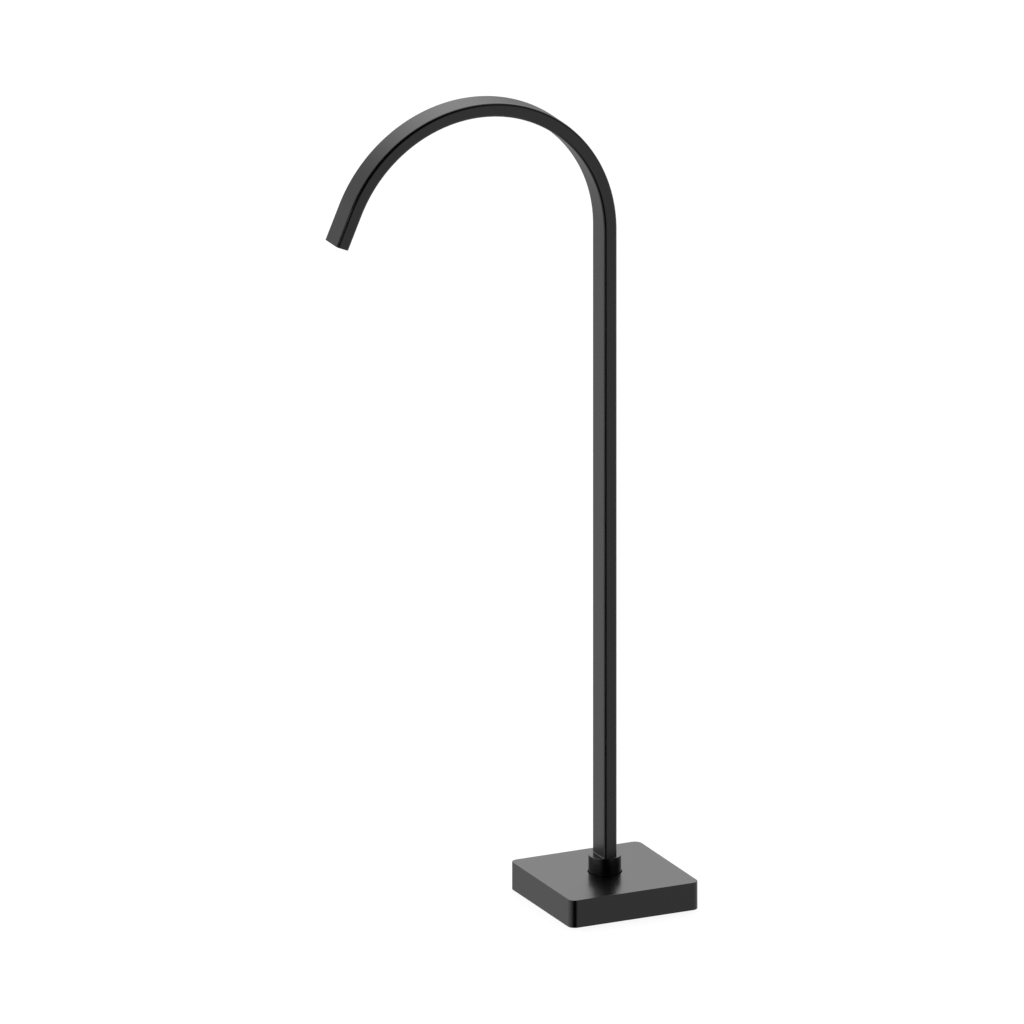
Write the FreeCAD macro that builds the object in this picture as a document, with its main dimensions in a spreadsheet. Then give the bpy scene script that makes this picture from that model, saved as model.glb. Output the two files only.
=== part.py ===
import FreeCAD, Part

# Floor standing bath filler: a gooseneck of flat rectangular tube that swivels on a post,
# over a floor flange that a loose square cover hides.
# Millimetres, +Z up. The origin is on the riser's axis at floor level, and the spout
# reaches along -Y, with the wide side of its tube along X.

import os
import re
import Sketcher

Vector = FreeCAD.Vector
document = FreeCAD.newDocument("bath_filler")

# Driving sizes: name, number, what it measures.
SIZES = (
    ("tube_width", "30", "wide side of the tube's section"),
    ("tube_depth", "15", "narrow side of the tube's section"),
    ("tube_corner", "3", "outer corner radius of the section"),
    ("tube_wall", "1.5", "wall of the tube"),
    ("bend_start", "734", "height where the riser starts to bend"),
    ("bend_radius", "152.3", "radius of the tube's centre line"),
    ("bend_angle", "156.5", "turn of the gooseneck, in degrees"),
    ("tail_length", "39.4", "straight run from the bend to the mouth"),
    ("socket_margin", "1.2", "collar metal outside the tube's corners"),
    ("socket_depth", "3", "depth of the tube's seat in the collar"),
    ("braze_leg", "0.45", "height and slope of the upstand round the tube's foot"),
    ("braze_land", "0.15", "level top of that upstand"),
    ("collar_shown", "18.6", "collar above the cover"),
    ("collar_wall", "4.5", "wall of the collar's skirt"),
    ("collar_roof", "6", "collar metal above the post's bore"),
    ("edge_break", "0.4", "chamfer on turned edges"),
    ("fit", "0.05", "gap of a close fit, on the radius"),
    ("post_gap", "0.5", "gap between post and collar bore"),
    ("post_end_gap", "0.6", "gap above the post"),
    ("post_land", "1", "metal left between the post's grooves"),
    ("water_bore", "14", "bore of the post"),
    ("inlet_bore", "18.63", "bore of the inlet thread"),
    ("inlet_depth", "11", "length of the inlet thread"),
    ("inlet_wall", "4.5", "metal round the inlet thread"),
    ("o_ring_section", "2", "thickness of the water seals"),
    ("glide_height", "3", "height of the plastic glide rings"),
    ("glide_wall", "1.2", "thickness of the glide rings"),
    ("retaining_rise", "4", "retaining screws above the collar's foot"),
    ("retaining_depth", "1.5", "depth of the groove that holds the collar down"),
    ("retaining_play", "0.3", "gap each side of the screws' tips"),
    ("grub_diameter", "3", "retaining screw thread"),
    ("grub_tip", "2", "retaining screw tip"),
    ("washer_thickness", "1", "thrust washer under the collar"),
    ("pin_diameter", "2", "stop pin"),
    ("pin_seat", "4", "stop pin's depth in the post"),
    ("pin_reach", "2", "stop pin above the washer"),
    ("pin_play", "0.3", "gap round the stop pin in its slot"),
    ("swivel_limit", "90", "turn to each side, in degrees"),
    ("boss_thickness", "6", "foot of the post"),
    ("boss_margin", "1.5", "metal round the post's screw heads"),
    ("screw_diameter", "4", "post screws"),
    ("screw_play", "0.15", "gap round the post screws in the post's foot"),
    ("screw_head", "7", "head of the post screws"),
    ("screw_head_height", "4", "height of that head"),
    ("flange_thickness", "6", "floor flange"),
    ("flange_corner", "8", "corner radius of the floor flange"),
    ("flange_gap", "5.5", "gap from the flange to the rim seal"),
    ("floor_hole", "9", "floor bolt holes"),
    ("hole_inset", "15", "floor bolt holes in from the flange's edge"),
    ("level_diameter", "6", "levelling screws"),
    ("level_shown", "3", "levelling screws above the flange"),
    ("gasket_thickness", "2", "rubber under the flange"),
    ("gasket_gap", "1", "gasket's gap round the inlet and the levelling screws"),
    ("strainer_thickness", "1.2", "strainer above the inlet thread"),
    ("strainer_ledge", "1.3", "ledge that the strainer seats on"),
    ("strainer_hole", "1.2", "holes of the strainer"),
    ("cover_side", "148", "side of the square cover"),
    ("cover_height", "30", "height of the cover"),
    ("cover_corner", "8", "outer radius of the cover's upright edges"),
    ("cover_wall", "2.5", "sheet of the cover"),
    ("cover_edge", "0.4", "bevel round the cover's top"),
    ("collar_gap", "1", "gap round the collar in the cover"),
    ("ring_gap", "0.5", "gap round the collar in the centring ring"),
    ("ring_width", "5", "width of the centring ring"),
    ("ring_height", "2.5", "height of the centring ring"),
    ("rim_seal_width", "3", "rim seal, in from the cover's wall"),
    ("rim_seal_height", "6", "height of the rim seal"),
    ("outlet_recess", "1", "outlet insert in from the mouth"),
    ("outlet_wall", "1.2", "wall and lip of the outlet frame"),
    ("outlet_depth", "12", "length of the outlet frame"),
    ("mesh_thickness", "0.6", "outlet screen"),
    ("mesh_hole", "1", "holes of the screen"),
    ("straightener_depth", "7", "flow straightener along the flow"),
    ("vane", "0.6", "vanes of the flow straightener"),
    ("outlet_seal_depth", "2", "seal behind the outlet frame"),
    ("outlet_screw", "3", "screw that holds the outlet frame"),
)
sheet = document.addObject("Spreadsheet::Sheet", "Sizes")
for row, (name, number, meaning) in enumerate(SIZES, start=1):
    sheet.set(f"A{row}", meaning)
    sheet.set(f"B{row}", number)
    sheet.setAlias(f"B{row}", name)
document.recompute()
ALIASES = {name for name, number, meaning in SIZES}

# Heights and radii that follow from the driving sizes.
FLANGE_TOP = "(gasket_thickness + flange_thickness)"
BOSS_TOP = f"({FLANGE_TOP} + boss_thickness)"
COLLAR_FOOT = f"({BOSS_TOP} + washer_thickness)"
COLLAR_TOP = "(cover_height + collar_shown)"
BORE_TOP = f"({COLLAR_TOP} - collar_roof)"
POST_TOP = f"({BORE_TOP} - post_end_gap)"
INLET_TOP = "(gasket_thickness + inlet_depth)"
STRAINER_TOP = f"({INLET_TOP} + strainer_thickness)"
STRAINER_SEAT_R = "(water_bore / 2 + strainer_ledge)"
CORNER_REACH = "sqrt((tube_width / 2 - tube_corner)^2 + (tube_depth / 2 - tube_corner)^2)"
COLLAR_R = f"({CORNER_REACH} + tube_corner + socket_margin)"
BORE_R = f"({COLLAR_R} - collar_wall)"
POST_R = f"({BORE_R} - post_gap)"
SPIGOT_R = "(inlet_bore / 2 + inlet_wall)"
GLIDE_R = f"({BORE_R} - fit)"
GLIDE_FLOOR = f"({GLIDE_R} - glide_wall - fit)"
SEAL_R = f"({BORE_R} - fit - o_ring_section / 2)"
SEAL_FLOOR = f"({SEAL_R} - o_ring_section / 2 - fit)"
SEAL_WIDTH = "(o_ring_section * 1.3)"
RETAINING_Z = f"({COLLAR_FOOT} + retaining_rise)"
RETAINING_HALF = "(grub_tip / 2 + retaining_play)"
GLIDE_GROOVE = "(glide_height + 2 * fit)"
LOWER_GLIDE_Z = f"({RETAINING_Z} + {RETAINING_HALF} + post_land)"
UPPER_GLIDE_Z = f"({POST_TOP} - post_land - {GLIDE_GROOVE})"
UPPER_SEAL_Z = f"({UPPER_GLIDE_Z} - post_land - {SEAL_WIDTH})"
LOWER_SEAL_Z = f"({UPPER_SEAL_Z} - post_land - {SEAL_WIDTH})"
PIN_R = f"({COLLAR_R} - collar_wall / 2)"
SCREW_RING = f"({COLLAR_R} + boss_margin + screw_head / 2)"
BOSS_R = f"({SCREW_RING} + screw_head / 2 + boss_margin)"
COVER_INSIDE = "(cover_side - 2 * cover_wall)"
COVER_HOLE_R = f"({COLLAR_R} + collar_gap)"
FLANGE_SIDE = f"({COVER_INSIDE} - 2 * rim_seal_width - 2 * flange_gap)"
HOLE_REACH = f"({FLANGE_SIDE} / 2 - hole_inset)"
TUBE_INSIDE = ("(tube_width - 2 * tube_wall)", "(tube_depth - 2 * tube_wall)", "(tube_corner - tube_wall)")
MOUTH_Y = "(-bend_radius * (1 - cos(bend_angle)) - tail_length * sin(bend_angle))"
MOUTH_Z = "(bend_start + bend_radius * sin(bend_angle) + tail_length * cos(bend_angle))"


def in_sheet(expression):
    """The expression with each size read from the sheet."""
    return re.sub(r"[a-z]\w*", lambda word: f"Sizes.{word[0]}" if word[0] in ALIASES else word[0], expression)


def value(expression):
    """The number that the expression has now."""
    return float(sheet.evalExpression(in_sheet(expression)))


def bind(feature, **expressions):
    """Each named property follows its expression; __ stands for a dot in a property's name."""
    for name, expression in expressions.items():
        feature.setExpression(name.replace("__", "."), in_sheet(expression))


def new_body(label):
    """An empty body that gives a node its name."""
    body = document.addObject("PartDesign::Body", label)
    body.Label = label
    return body


def origin_plane(body, role):
    """One of the body's own origin planes or axes."""
    return next(feature for feature in body.Origin.OriginFeatures if feature.Role == role)


def new_sketch(body, role="XY_Plane", height="0"):
    """A sketch on an origin plane, raised along the plane's normal."""
    sketch = body.newObject("Sketcher::SketchObject", "Sketch")
    sketch.AttachmentSupport = [(origin_plane(body, role), "")]
    sketch.MapMode = "FlatFace"
    bind(sketch, AttachmentOffset__Base__z=height)
    return sketch


def hold(sketch, geometry, point, x, y):
    """Ties a point of the sketch to the origin by its two distances."""
    for kind, expression in (("DistanceX", x), ("DistanceY", y)):
        index = sketch.addConstraint(Sketcher.Constraint(kind, -1, 1, geometry, point, value(expression)))
        sketch.setExpression(f"Constraints[{index}]", in_sheet(expression))


def circle(sketch, radius, x="0", y="0"):
    """A circle whose centre and radius follow expressions."""
    centre = Vector(value(x), value(y), 0)
    index = sketch.addGeometry(Part.Circle(centre, Vector(0, 0, 1), value(radius)), False)
    hold(sketch, index, 3, x, y)
    constraint = sketch.addConstraint(Sketcher.Constraint("Radius", index, value(radius)))
    sketch.setExpression(f"Constraints[{constraint}]", in_sheet(radius))


def polygon(sketch, corners):
    """A closed outline of straight lines through the corners."""
    points = [Vector(value(x), value(y), 0) for x, y in corners]
    first = sketch.GeometryCount
    for index, (x, y) in enumerate(corners):
        line = Part.LineSegment(points[index], points[(index + 1) % len(points)])
        sketch.addGeometry(line, False)
        hold(sketch, first + index, 1, x, y)
    for index in range(len(corners)):
        following = first + (index + 1) % len(corners)
        sketch.addConstraint(Sketcher.Constraint("Coincident", first + index, 2, following, 1))


def rounded_rectangle(sketch, width, depth, corner):
    """A centred rectangle: four quarter arcs held by their centres, and the lines that join them."""
    across = f"(({width}) / 2 - ({corner}))"
    along = f"(({depth}) / 2 - ({corner}))"
    first = sketch.GeometryCount
    quarter = FreeCAD.Units.Quantity("90 deg").getValueAs("rad").Value
    for index, (sign_x, sign_y) in enumerate(((1, 1), (-1, 1), (-1, -1), (1, -1))):
        x = f"{sign_x} * {across}"
        y = f"{sign_y} * {along}"
        round_corner = Part.Circle(Vector(value(x), value(y), 0), Vector(0, 0, 1), value(corner))
        arc = Part.ArcOfCircle(round_corner, index * quarter, (index + 1) * quarter)
        sketch.addGeometry(arc, False)
        hold(sketch, first + index, 3, x, y)
        constraint = sketch.addConstraint(Sketcher.Constraint("Radius", first + index, value(corner)))
        sketch.setExpression(f"Constraints[{constraint}]", in_sheet(corner))
    for index in range(4):
        following = first + (index + 1) % 4
        start = sketch.Geometry[first + index].EndPoint
        end = sketch.Geometry[following].StartPoint
        line = sketch.addGeometry(Part.LineSegment(start, end), False)
        sketch.addConstraint(Sketcher.Constraint("Tangent", first + index, 2, line, 1))
        sketch.addConstraint(Sketcher.Constraint("Tangent", line, 2, following, 1))


def hexagon(sketch, reach, x="0", y="0"):
    """A hexagon socket, from its centre and the reach of its corners."""
    angles = [60 * corner for corner in range(6)]
    corners = [(f"{x} + ({reach}) * cos({angle})", f"{y} + ({reach}) * sin({angle})") for angle in angles]
    polygon(sketch, corners)


def pad(body, sketch, length, downwards=False, taper="0"):
    """Metal along the sketch's normal, or against it."""
    feature = body.newObject("PartDesign::Pad", "Pad")
    feature.Profile = sketch
    feature.Reversed = downwards
    bind(feature, Length=length, TaperAngle=taper)
    document.recompute()
    return feature


def cut(body, sketch, depth=None, upwards=True):
    """A pocket of the given depth, or right through both ways. It has to take metal away."""
    before = body.Shape.Volume
    feature = body.newObject("PartDesign::Pocket", "Pocket")
    feature.Profile = sketch
    if depth is None:
        feature.Type = "ThroughAll"
        feature.Midplane = True
    else:
        feature.Reversed = upwards
        bind(feature, Length=depth)
    body.Tip = feature
    document.recompute()
    if not body.Shape.Volume < before:
        raise RuntimeError(f"{body.Label}: a cut took nothing away")
    return feature


def turn(body, corners):
    """A turned piece: an outline of radii and heights carried round the Z axis."""
    sketch = new_sketch(body, "XZ_Plane")
    polygon(sketch, corners)
    feature = body.newObject("PartDesign::Revolution", "Turned")
    feature.Profile = sketch
    feature.ReferenceAxis = (sketch, ["V_Axis"])
    feature.Angle = 360
    document.recompute()
    return feature


def ring_of(body, features, count):
    """The features repeated evenly round the Z axis."""
    feature = body.newObject("PartDesign::PolarPattern", "Ring")
    feature.Originals = features
    feature.Axis = (origin_plane(body, "Z_Axis"), [""])
    feature.Angle = 360
    feature.Occurrences = count
    body.Tip = feature
    document.recompute()
    return feature


def bored_ring(label, inner, outer, low, high):
    """A plain turned ring between two radii and two heights."""
    body = new_body(label)
    turn(body, ((inner, low), (outer, low), (outer, high), (inner, high)))
    return body


# ---- spout_tube: one length of rectangular tube, bent cold to a gooseneck and cut square

def tube_section(sketch):
    """The tube's section: outer outline and bore."""
    rounded_rectangle(sketch, "tube_width", "tube_depth", "tube_corner")
    rounded_rectangle(sketch, *TUBE_INSIDE)


TUBE_FOOT = f"({COLLAR_TOP} - socket_depth)"
spout_tube = new_body("spout_tube")
riser_sketch = new_sketch(spout_tube, height=TUBE_FOOT)
tube_section(riser_sketch)
pad(spout_tube, riser_sketch, f"bend_start - {TUBE_FOOT}")

bend_sketch = new_sketch(spout_tube, height="bend_start")
tube_section(bend_sketch)
HALF_AXIS = "tube_width / 2"
centre_line = Part.LineSegment(
    Vector(-value(HALF_AXIS), -value("bend_radius"), 0), Vector(value(HALF_AXIS), -value("bend_radius"), 0)
)
bend_axis = bend_sketch.addGeometry(centre_line, True)
hold(bend_sketch, bend_axis, 1, f"-{HALF_AXIS}", "-bend_radius")
hold(bend_sketch, bend_axis, 2, HALF_AXIS, "-bend_radius")
bend = spout_tube.newObject("PartDesign::Revolution", "Bend")
bend.Profile = bend_sketch
bend.ReferenceAxis = (bend_sketch, ["Axis0"])
bind(bend, Angle="bend_angle")


def tilted(angle):
    """A placement at the origin, turned about X."""
    return FreeCAD.Placement(Vector(0, 0, 0), FreeCAD.Rotation(Vector(1, 0, 0), value(angle)))


def tilted_sketch(body, y, z, tilt):
    """A sketch at a point of the YZ plane, tilted about X."""
    sketch = new_sketch(body)
    sketch.AttachmentOffset = tilted(tilt)
    bind(
        sketch,
        AttachmentOffset__Rotation__Angle=tilt,
        AttachmentOffset__Base__y=y,
        AttachmentOffset__Base__z=z,
    )
    return sketch


tail_sketch = tilted_sketch(
    spout_tube,
    "-bend_radius * (1 - cos(bend_angle))",
    "bend_start + bend_radius * sin(bend_angle)",
    "bend_angle",
)
tube_section(tail_sketch)
pad(spout_tube, tail_sketch, "tail_length")


# ---- pieces in the mouth, each made along the flow: Z = 0 is the mouth, +Z points out of it

def mouth_body(label):
    """A body whose frame sits in the middle of the mouth."""
    body = new_body(label)
    body.Placement = tilted("bend_angle")
    bind(
        body,
        Placement__Rotation__Angle="bend_angle",
        Placement__Base__y=MOUTH_Y,
        Placement__Base__z=MOUTH_Z,
    )
    return body


def shrunk(section, gap):
    """The sizes of a section that is smaller all round by the gap."""
    width, depth, corner = section
    return f"({width} - 2 * {gap})", f"({depth} - 2 * {gap})", f"({corner} - {gap})"


OUTLET_OUTSIDE = shrunk(TUBE_INSIDE, "fit")
OUTLET_WIDTH = f"({OUTLET_OUTSIDE[0]} - 2 * outlet_wall)"
OUTLET_DEPTH = f"({OUTLET_OUTSIDE[1]} - 2 * outlet_wall)"
OUTLET_CORNER = "(tube_corner - tube_wall) / 3"
FRAME_INSIDE = (OUTLET_WIDTH, OUTLET_DEPTH, OUTLET_CORNER)
LIP_Z = "(-outlet_recess - outlet_wall)"
FRAME_BACK = "(-outlet_recess - outlet_depth)"
SCREEN_BACK = f"({LIP_Z} - mesh_thickness)"

# The frame is a moulded sleeve with a lip that stops the screen.
outlet_frame = mouth_body("outlet_frame")
frame_sketch = new_sketch(outlet_frame, height="-outlet_recess")
rounded_rectangle(frame_sketch, *OUTLET_OUTSIDE)
pad(outlet_frame, frame_sketch, "outlet_depth", downwards=True)
sleeve_sketch = new_sketch(outlet_frame, height=LIP_Z)
rounded_rectangle(sleeve_sketch, *FRAME_INSIDE)
cut(outlet_frame, sleeve_sketch, "outlet_depth", upwards=False)
lip_sketch = new_sketch(outlet_frame, height="-outlet_recess")
rounded_rectangle(lip_sketch, *shrunk((OUTLET_WIDTH, OUTLET_DEPTH, OUTLET_CORNER), "outlet_wall / 5"))
cut(outlet_frame, lip_sketch)

# The screen is a punched plate on the lip.
MESH_COLUMNS = 14
MESH_ROWS = 5
outlet_mesh = mouth_body("outlet_mesh")
plate_sketch = new_sketch(outlet_mesh, height=LIP_Z)
rounded_rectangle(plate_sketch, *shrunk(FRAME_INSIDE, "fit"))
pad(outlet_mesh, plate_sketch, "mesh_thickness", downwards=True)


def grid_of(body, original, columns, column_step, rows, row_step):
    """The original repeated along X and Y."""
    grid = body.newObject("PartDesign::MultiTransform", "Grid")
    runs = []
    for axis, count, step in (("X_Axis", columns, column_step), ("Y_Axis", rows, row_step)):
        run = body.newObject("PartDesign::LinearPattern", "Run")
        run.Direction = (origin_plane(body, axis), [""])
        run.Occurrences = count
        bind(run, Length=f"{count - 1} * {step}")
        runs.append(run)
    grid.Originals = [original]
    grid.Transformations = runs
    body.Tip = grid
    document.recompute()


MESH_STEP_X = f"({OUTLET_WIDTH} / {MESH_COLUMNS + 0.5})"
MESH_STEP_Y = f"({OUTLET_DEPTH} / {MESH_ROWS + 0.5})"
hole_sketch = new_sketch(outlet_mesh, height=LIP_Z)
circle(
    hole_sketch,
    "mesh_hole / 2",
    f"-{(MESH_COLUMNS - 1) / 2} * {MESH_STEP_X}",
    f"-{(MESH_ROWS - 1) / 2} * {MESH_STEP_Y}",
)
grid_of(outlet_mesh, cut(outlet_mesh, hole_sketch), MESH_COLUMNS, MESH_STEP_X, MESH_ROWS, MESH_STEP_Y)

# The straightener is a moulded grate of square cells behind the screen.
CELL_COLUMNS = 7
CELL_ROWS = 3
flow_straightener = mouth_body("flow_straightener")
core_sketch = new_sketch(flow_straightener, height=SCREEN_BACK)
rounded_rectangle(core_sketch, *shrunk(FRAME_INSIDE, "fit"))
pad(flow_straightener, core_sketch, "straightener_depth", downwards=True)
CELL_STEP_X = f"(({OUTLET_WIDTH} - vane) / {CELL_COLUMNS})"
CELL_STEP_Y = f"(({OUTLET_DEPTH} - vane) / {CELL_ROWS})"
cell_sketch = new_sketch(flow_straightener, height=SCREEN_BACK)
CELL_LEFT = f"-{CELL_COLUMNS / 2} * {CELL_STEP_X} + vane / 2"
CELL_FRONT = f"-{CELL_ROWS / 2} * {CELL_STEP_Y} + vane / 2"
CELL_RIGHT = f"{CELL_LEFT} + {CELL_STEP_X} - vane"
CELL_REAR = f"{CELL_FRONT} + {CELL_STEP_Y} - vane"
polygon(
    cell_sketch,
    ((CELL_LEFT, CELL_FRONT), (CELL_RIGHT, CELL_FRONT), (CELL_RIGHT, CELL_REAR), (CELL_LEFT, CELL_REAR)),
)
grid_of(
    flow_straightener, cut(flow_straightener, cell_sketch), CELL_COLUMNS, CELL_STEP_X, CELL_ROWS, CELL_STEP_Y
)

# The seal is a rubber frame between the sleeve's back and the tube's bore.
outlet_seal = mouth_body("outlet_seal")
seal_sketch = new_sketch(outlet_seal, height=FRAME_BACK)
rounded_rectangle(seal_sketch, *OUTLET_OUTSIDE)
rounded_rectangle(seal_sketch, *FRAME_INSIDE)
pad(outlet_seal, seal_sketch, "outlet_seal_depth", downwards=True)

# One grub screw through the tube's inner side stops in the sleeve.
outlet_screw = mouth_body("outlet_screw")
SCREW_DOWN = "(outlet_recess + outlet_depth / 2)"
SCREW_START = f"({OUTLET_OUTSIDE[1]} / 2 - outlet_wall)"
SCREW_END = "(tube_depth / 2 - edge_break)"
screw_sketch = new_sketch(outlet_screw, "XZ_Plane", SCREW_START)
circle(screw_sketch, "outlet_screw / 2", "0", f"-{SCREW_DOWN}")
pad(outlet_screw, screw_sketch, f"{SCREW_END} - {SCREW_START}")
key_sketch = new_sketch(outlet_screw, "XZ_Plane", SCREW_END)
hexagon(key_sketch, "outlet_screw / 3.5", "0", f"-{SCREW_DOWN}")
cut(outlet_screw, key_sketch, "tube_wall", upwards=False)

frame_seat = new_sketch(outlet_frame, "XZ_Plane")
circle(frame_seat, "outlet_screw / 2 + fit", "0", f"-{SCREW_DOWN}")
cut(outlet_frame, frame_seat, "tube_depth / 2")
tube_seat = tilted_sketch(
    spout_tube,
    f"{MOUTH_Y} + {SCREW_DOWN} * sin(bend_angle)",
    f"{MOUTH_Z} - {SCREW_DOWN} * cos(bend_angle)",
    "bend_angle + 90",
)
circle(tube_seat, "outlet_screw / 2 + fit")
cut(spout_tube, tube_seat, "tube_depth")


# ---- swivel_collar: turned cup that carries the tube and turns on the post

ROOF_HOLE_R = "(tube_depth / 2 - tube_wall)"
swivel_collar = new_body("swivel_collar")
turn(
    swivel_collar,
    (
        (BORE_R, COLLAR_FOOT),
        (COLLAR_R, COLLAR_FOOT),
        (COLLAR_R, f"{COLLAR_TOP} - edge_break"),
        (f"{COLLAR_R} - edge_break", COLLAR_TOP),
        (ROOF_HOLE_R, COLLAR_TOP),
        (ROOF_HOLE_R, BORE_TOP),
        (BORE_R, BORE_TOP),
    ),
)
UPSTAND = "(braze_leg + braze_land)"
upstand_sketch = new_sketch(swivel_collar, height=COLLAR_TOP)
rounded_rectangle(
    upstand_sketch, f"tube_width + 2 * {UPSTAND}", f"tube_depth + 2 * {UPSTAND}", f"tube_corner + {UPSTAND}"
)
pad(swivel_collar, upstand_sketch, "braze_leg", taper="-45")
socket_sketch = new_sketch(swivel_collar, height=f"{COLLAR_TOP} + braze_leg")
rounded_rectangle(socket_sketch, "tube_width + 2 * fit", "tube_depth + 2 * fit", "tube_corner + fit")
cut(swivel_collar, socket_sketch, "socket_depth + braze_leg", upwards=False)

# The stop pin runs in a slot milled round half of the collar's foot.
SLOT_HALF = "(pin_diameter / 2 + pin_play)"
SLOT_TOP = f"({COLLAR_FOOT} + pin_reach + pin_play)"
slot_sketch = new_sketch(swivel_collar, "YZ_Plane")
SLOT_IN = f"{PIN_R} - {SLOT_HALF}"
SLOT_OUT = f"{PIN_R} + {SLOT_HALF}"
SLOT_LOW = f"{COLLAR_FOOT} - washer_thickness / 2"
polygon(slot_sketch, ((SLOT_IN, SLOT_LOW), (SLOT_OUT, SLOT_LOW), (SLOT_OUT, SLOT_TOP), (SLOT_IN, SLOT_TOP)))
SLOT_TURN = f"(2 * swivel_limit + 360 / pi * {SLOT_HALF} / {PIN_R})"
slot = swivel_collar.newObject("PartDesign::Groove", "Slot")
slot.Profile = slot_sketch
slot.ReferenceAxis = (slot_sketch, ["V_Axis"])
slot.Midplane = True
bind(slot, Angle=SLOT_TURN)
document.recompute()

# Three tapped holes for the retaining screws.
RETAINING_COUNT = 3
grub_sketch = new_sketch(swivel_collar, "YZ_Plane")
circle(grub_sketch, "grub_diameter / 2 + fit", "0", RETAINING_Z)
ring_of(swivel_collar, [cut(swivel_collar, grub_sketch, COLLAR_R)], RETAINING_COUNT)

# ---- retaining_screws: grub screws whose tips run in the post's lowest groove

retaining_screws = new_body("retaining_screws")
TIP_START = f"({POST_R} - retaining_depth + retaining_play)"
GRUB_END = f"({COLLAR_R} - edge_break)"
tip_sketch = new_sketch(retaining_screws, "YZ_Plane", TIP_START)
circle(tip_sketch, "grub_tip / 2", "0", RETAINING_Z)
grub_tip = pad(retaining_screws, tip_sketch, f"{BORE_R} - {TIP_START}")
thread_sketch = new_sketch(retaining_screws, "YZ_Plane", BORE_R)
circle(thread_sketch, "grub_diameter / 2", "0", RETAINING_Z)
grub_thread = pad(retaining_screws, thread_sketch, f"{GRUB_END} - {BORE_R}")
socket = new_sketch(retaining_screws, "YZ_Plane", GRUB_END)
hexagon(socket, "grub_diameter / 3.5", "0", RETAINING_Z)
grub_socket = cut(retaining_screws, socket, "grub_diameter / 2", upwards=False)
ring_of(retaining_screws, [grub_tip, grub_thread, grub_socket], RETAINING_COUNT)


# ---- swivel_post: turned brass post with the inlet thread below and the bearing above

def groove(floor, low, height):
    """Outline corners of a groove in the post, from its lower edge up."""
    high = f"{low} + {height}"
    return (POST_R, low), (floor, low), (floor, high), (POST_R, high)


swivel_post = new_body("swivel_post")
turn(
    swivel_post,
    (
        ("inlet_bore / 2", "gasket_thickness"),
        (SPIGOT_R, "gasket_thickness"),
        (SPIGOT_R, FLANGE_TOP),
        (BOSS_R, FLANGE_TOP),
        (BOSS_R, f"{BOSS_TOP} - edge_break"),
        (f"{BOSS_R} - edge_break", BOSS_TOP),
        (POST_R, BOSS_TOP),
        *groove(f"{POST_R} - retaining_depth", f"{RETAINING_Z} - {RETAINING_HALF}", f"2 * {RETAINING_HALF}"),
        *groove(GLIDE_FLOOR, LOWER_GLIDE_Z, GLIDE_GROOVE),
        *groove(SEAL_FLOOR, LOWER_SEAL_Z, SEAL_WIDTH),
        *groove(SEAL_FLOOR, UPPER_SEAL_Z, SEAL_WIDTH),
        *groove(GLIDE_FLOOR, UPPER_GLIDE_Z, GLIDE_GROOVE),
        (POST_R, f"{POST_TOP} - edge_break"),
        (f"{POST_R} - edge_break", POST_TOP),
        ("water_bore / 2", POST_TOP),
        ("water_bore / 2", STRAINER_TOP),
        (STRAINER_SEAT_R, STRAINER_TOP),
        (STRAINER_SEAT_R, INLET_TOP),
        ("inlet_bore / 2", INLET_TOP),
    ),
)
SCREW_COUNT = 4
SCREW_AT = f"{SCREW_RING} * cos(45)"
post_holes = new_sketch(swivel_post)
circle(post_holes, "screw_diameter / 2 + screw_play", SCREW_AT, SCREW_AT)
ring_of(swivel_post, [cut(swivel_post, post_holes)], SCREW_COUNT)
pin_hole = new_sketch(swivel_post, height=BOSS_TOP)
circle(pin_hole, "pin_diameter / 2 + fit", "0", PIN_R)
cut(swivel_post, pin_hole, "pin_seat", upwards=False)

# The stop pin is a ground dowel pressed into the post's foot.
stop_pin = new_body("stop_pin")
pin_sketch = new_sketch(stop_pin, height=f"{BOSS_TOP} - pin_seat")
circle(pin_sketch, "pin_diameter / 2", "0", PIN_R)
pad(stop_pin, pin_sketch, "pin_seat + washer_thickness + pin_reach")

# The thrust washer carries the collar's weight on the post's foot.
thrust_washer = bored_ring("thrust_washer", f"{POST_R} + fit", COLLAR_R, BOSS_TOP, COLLAR_FOOT)
washer_hole = new_sketch(thrust_washer)
circle(washer_hole, "pin_diameter / 2 + fit", "0", PIN_R)
cut(thrust_washer, washer_hole)

# Glide rings of plastic keep the collar upright on the post.
for label, low in (("lower_glide_ring", LOWER_GLIDE_Z), ("upper_glide_ring", UPPER_GLIDE_Z)):
    bored_ring(label, f"{GLIDE_FLOOR} + fit", GLIDE_R, f"{low} + fit", f"{low} + fit + glide_height")

# Two rubber rings keep the water in.
for label, low in (("lower_seal_ring", LOWER_SEAL_Z), ("upper_seal_ring", UPPER_SEAL_Z)):
    seal = document.addObject("Part::Torus", label)
    seal.Label = label
    bind(seal, Radius1=SEAL_R, Radius2="o_ring_section / 2", Placement__Base__z=f"{low} + {SEAL_WIDTH} / 2")

# The strainer is a punched disc pressed into its seat above the inlet thread.
inlet_strainer = new_body("inlet_strainer")
disc_sketch = new_sketch(inlet_strainer, height=INLET_TOP)
circle(disc_sketch, f"{STRAINER_SEAT_R} - fit")
pad(inlet_strainer, disc_sketch, "strainer_thickness")
for part_of_bore, holes in ((0.35, 6), (0.75, 12)):
    strainer_sketch = new_sketch(inlet_strainer)
    circle(strainer_sketch, "strainer_hole / 2", f"{part_of_bore} * water_bore / 2")
    ring_of(inlet_strainer, [cut(inlet_strainer, strainer_sketch)], holes)


# ---- floor_flange: steel plate bolted to the floor, on a rubber gasket

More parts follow.
